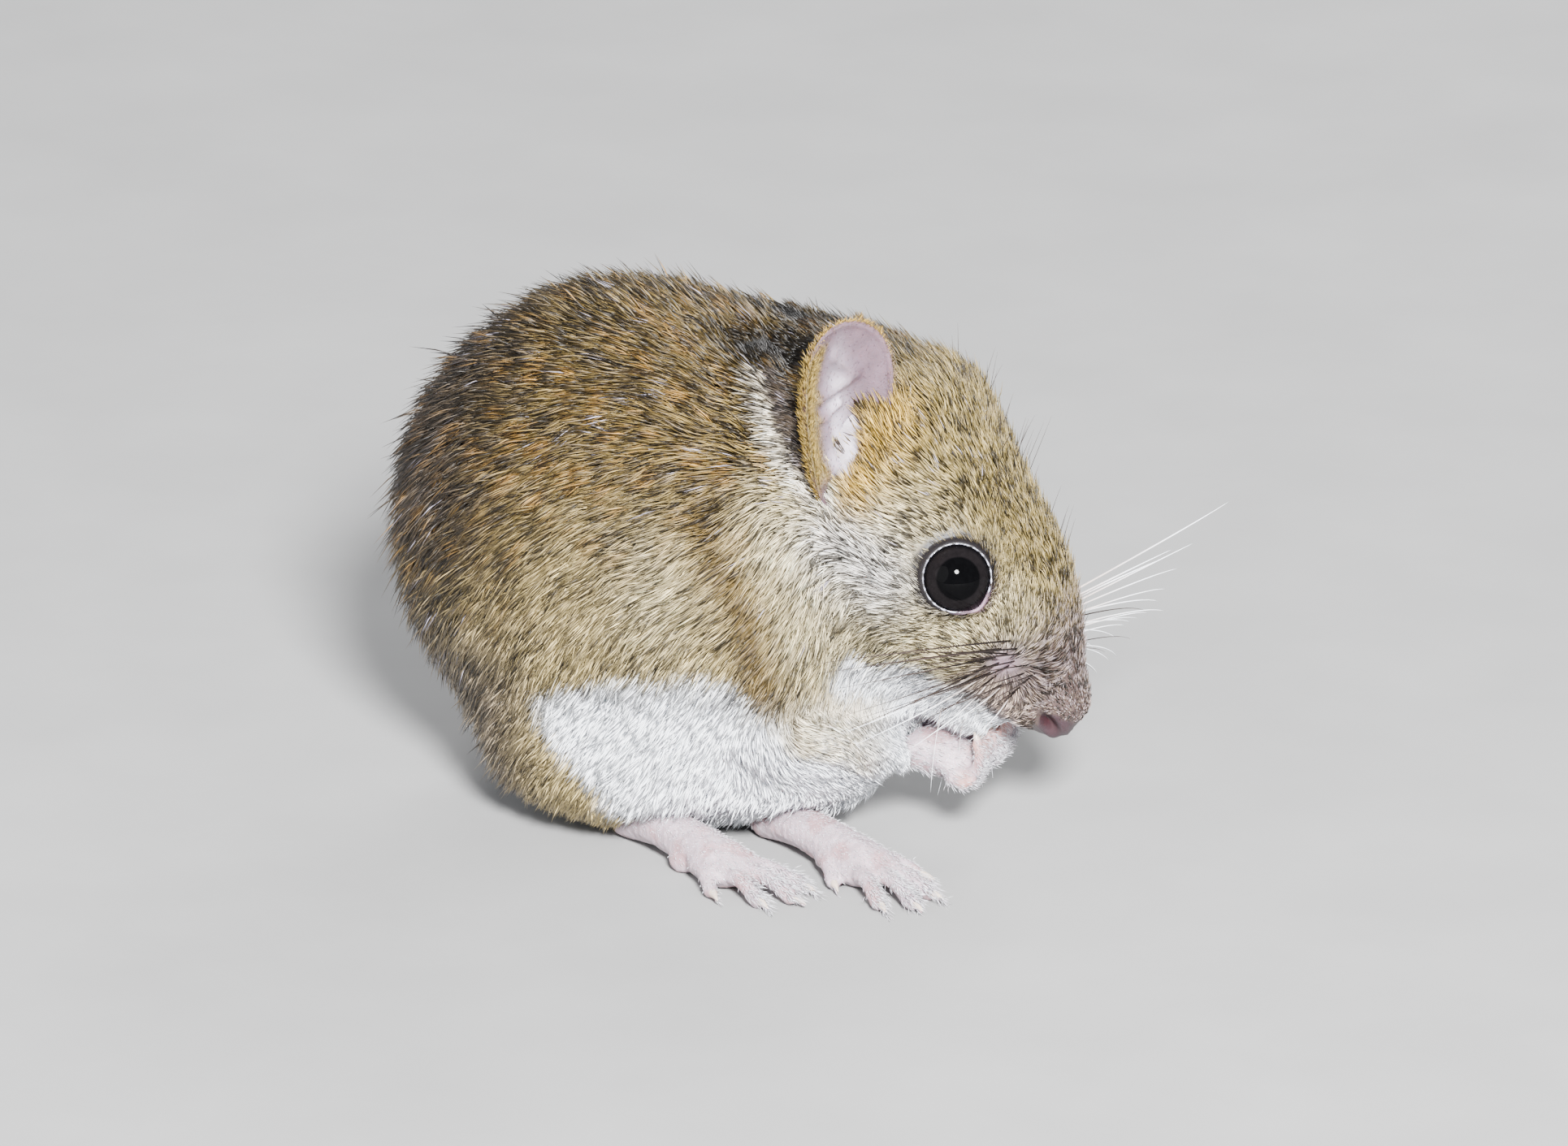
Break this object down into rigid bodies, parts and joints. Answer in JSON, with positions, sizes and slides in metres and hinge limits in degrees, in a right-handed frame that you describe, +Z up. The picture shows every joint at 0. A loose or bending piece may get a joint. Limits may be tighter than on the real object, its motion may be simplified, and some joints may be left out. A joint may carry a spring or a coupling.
{
  "type": "chacoan pygmy rice rat",
  "caption": "Life-size small rat sitting hunched with its hands at its mouth, large dark eyes, cupped ears and a long thin tail laid on the floor.",
  "frame": {"origin": "on the floor, under the middle of the bounding box, tail included", "axes": "+Z up from the floor, +X the way the rat mainly looks, +Y to its left, where the tail lies"},
  "size_m": [0.0618, 0.0814, 0.0417],
  "materials": {
    "coat": "soft short fur",
    "bare_skin": "satin skin with fine hairs",
    "ear_skin": "thin satin skin",
    "eye_dark": "wet gloss"
  },
  "bodies": {
    "root": {"head": "coat", "neck": "coat", "torso": "coat", "thigh_right": "coat", "thigh_left": "coat", "arm_right": "coat", "arm_left": "coat", "hand_right": "bare_skin", "hand_left": "bare_skin", "hind_foot_right": "bare_skin", "hind_foot_left": "bare_skin", "tail_1": "bare_skin", "tail_2": "bare_skin", "tail_3": "bare_skin", "tail_4": "bare_skin", "ear_right": "ear_skin", "ear_left": "ear_skin", "eye_right": "eye_dark", "eye_left": "eye_dark"}
  },
  "joints": []
}
